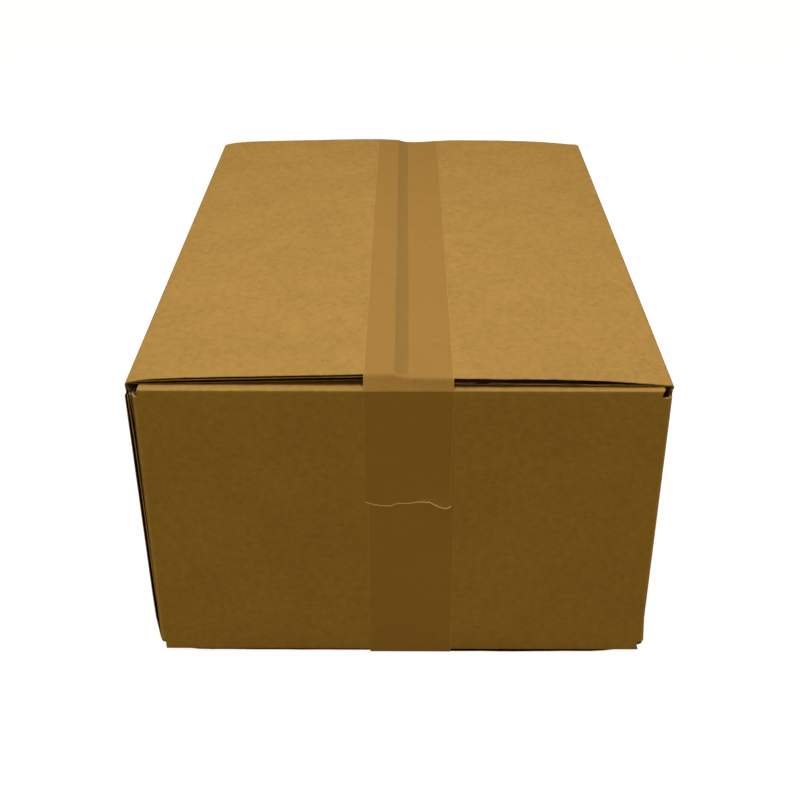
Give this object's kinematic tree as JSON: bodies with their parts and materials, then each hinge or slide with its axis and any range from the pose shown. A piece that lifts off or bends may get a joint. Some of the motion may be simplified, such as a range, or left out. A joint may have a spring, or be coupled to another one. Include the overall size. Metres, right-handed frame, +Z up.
{
  "type": "closed cardboard box",
  "caption": "Closed shipping carton of kraft corrugated board, its long flaps meeting at a taped seam along the top and the bottom.",
  "frame": {"origin": "centre of the bottom, on the surface that the box stands on", "axes": "+X to the right of the face with the joint edge at its left, +Y back along the box's length and its taped seams, +Z up"},
  "size_m": [0.306, 0.4384, 0.1922],
  "materials": {
    "kraft_board": "unbleached kraft paper, matt, faintly mottled",
    "tan_tape": "tan packing tape film, low sheen",
    "glue": "dried white glue"
  },
  "bodies": {
    "root": {"carton": "kraft_board", "joint_glue": "glue", "top_tape": "tan_tape", "bottom_tape": "tan_tape"}
  },
  "joints": []
}
